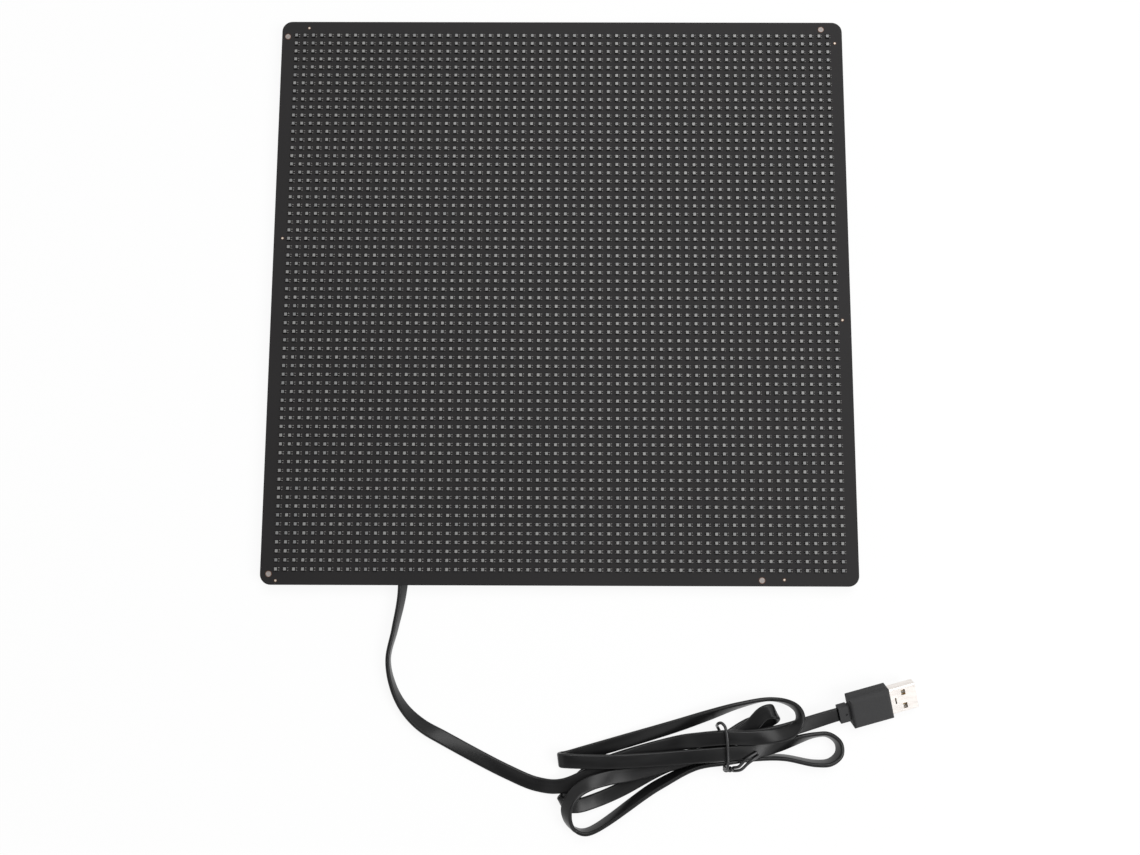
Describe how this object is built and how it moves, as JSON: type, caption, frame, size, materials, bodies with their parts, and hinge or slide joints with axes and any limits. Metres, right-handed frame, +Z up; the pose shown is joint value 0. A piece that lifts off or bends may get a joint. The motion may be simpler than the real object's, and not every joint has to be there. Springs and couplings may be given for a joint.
{
  "type": "led dot matrix",
  "caption": "Thin flexible square LED dot matrix display sheet on a shallow controller case, powered by a flat folded USB cord.",
  "frame": {"origin": "on the surface the panel rests on, under the middle of the LED field", "axes": "+Z up out of the LED side, +X to the viewer's right, +Y away from the side where the cord leaves"},
  "size_m": [0.2905, 0.373, 0.0142],
  "materials": {
    "sheet_black": "matte black solder mask",
    "led_package": "pale grey satin LED packages",
    "solder": "dull tinned metal",
    "copper": "dark bare copper",
    "gold": "gold plated",
    "adhesive": "white foam tape",
    "case_black": "fine textured black plastic",
    "screw_steel": "zinc plated",
    "board_green": "green solder mask",
    "chip_black": "moulded epoxy",
    "shield_steel": "tinned shield can",
    "capacitor_yellow": "moulded",
    "connector_white": "white nylon",
    "tail_amber": "amber polyimide",
    "gland_rubber": "matte",
    "wire_red": "satin insulation",
    "cord_black": "satin black flat jacket",
    "tie_black": "black plastic coated wire",
    "plug_black": "matte black overmould",
    "shell_nickel": "bright nickel plate"
  },
  "bodies": {
    "root": {"flex_sheet": "sheet_black", "led_rows": "led_package", "corner_pads": "solder", "copper_rings": "copper", "alignment_dots": "gold", "adhesive_pad": "adhesive", "case_shell": "case_black", "case_cover": "case_black", "cover_screws": "screw_steel", "controller_board": "board_green", "main_chip": "chip_black", "wireless_module": "shield_steel", "capacitors": "capacitor_yellow", "ribbon_connector": "connector_white", "flex_tail": "tail_amber", "cord_gland": "gland_rubber", "cord_wires": "wire_red", "usb_cord": "cord_black", "cord_tie": "tie_black", "plug_body": "plug_black", "plug_shell": "shell_nickel", "plug_tongue": "connector_white", "plug_contacts": "gold"}
  },
  "joints": []
}
